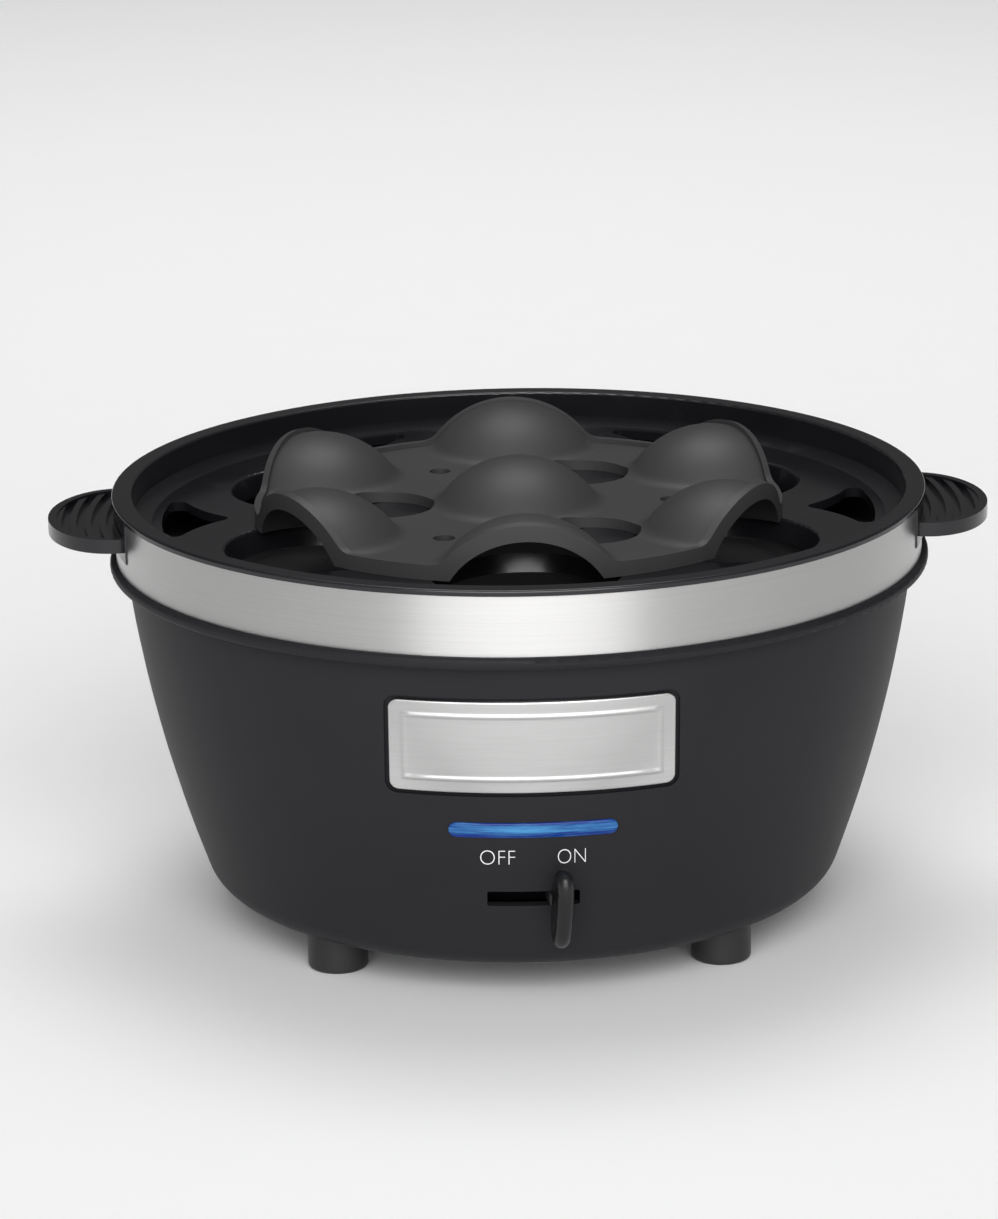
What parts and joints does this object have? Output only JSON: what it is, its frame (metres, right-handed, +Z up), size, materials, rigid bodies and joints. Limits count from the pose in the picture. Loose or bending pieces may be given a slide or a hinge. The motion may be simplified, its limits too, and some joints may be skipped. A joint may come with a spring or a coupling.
{
  "type": "electric egg cooker",
  "caption": "Round electric egg cooker with a steel-banded bowl, a handled lift-out egg tray, a domed upper tray and a front on-off lever.",
  "frame": {"origin": "on the table, under the middle of the base", "axes": "+Z up, +X along the two side handles, the front with the lever faces -Y"},
  "size_m": [0.203, 0.1768, 0.1006],
  "materials": {
    "housing_black": "satin",
    "tray_black": "gloss",
    "rack_grey": "matte",
    "band_steel": "brushed",
    "inner_steel": "plain",
    "dish_coating": "non-stick coating",
    "lens_blue": "clear tinted",
    "foot_rubber": "smooth",
    "seal_silicone": "matte",
    "inner_plastic": "matte",
    "board_green": "lacquered",
    "contact_brass": "plain"
  },
  "bodies": {
    "base": {"housing": "housing_black", "steel_band": "band_steel", "nameplate": "band_steel", "indicator_lens": "lens_blue", "base_cover": "housing_black", "foot_front_left": "foot_rubber", "foot_front_right": "foot_rubber", "foot_rear_left": "foot_rubber", "foot_rear_right": "foot_rubber", "cover_screws": "inner_steel", "plate_gasket": "seal_silicone", "heating_plate": "dish_coating", "plate_nuts": "inner_steel", "heating_element": "inner_steel", "thermostat": "inner_plastic", "thermostat_bracket": "inner_steel", "bracket_nuts": "inner_steel", "thermal_fuse": "inner_plastic", "fuse_clip": "inner_steel", "switch_block": "housing_black", "switch_screws": "inner_steel", "lever_pivot_pin": "inner_steel", "detent_spring": "contact_brass", "switch_terminals": "contact_brass", "control_board": "board_green", "indicator_leds": "lens_blue", "board_screws": "inner_steel", "buzzer": "housing_black", "terminal_block": "inner_plastic", "terminal_screws": "contact_brass", "cord_bush": "foot_rubber"},
    "lever": {"switch_lever": "housing_black", "lever_rotor": "housing_black"},
    "lower_tray": {"egg_tray": "tray_black"},
    "rack": {"upper_tray": "rack_grey"}
  },
  "joints": [
    {"name": "lever_swing", "type": "hinge", "parent": "base", "child": "lever", "pos_m": [0, -0.0466, 0.0256], "axis": [0, 0, -1], "range_deg": [0, 20]},
    {"name": "tray_lift", "type": "slide", "parent": "base", "child": "lower_tray", "axis": [0, 0, 1], "range_m": [0, 0.06]},
    {"name": "rack_lift", "type": "slide", "parent": "lower_tray", "child": "rack", "axis": [0, 0, 1], "range_m": [0, 0.06]}
  ]
}
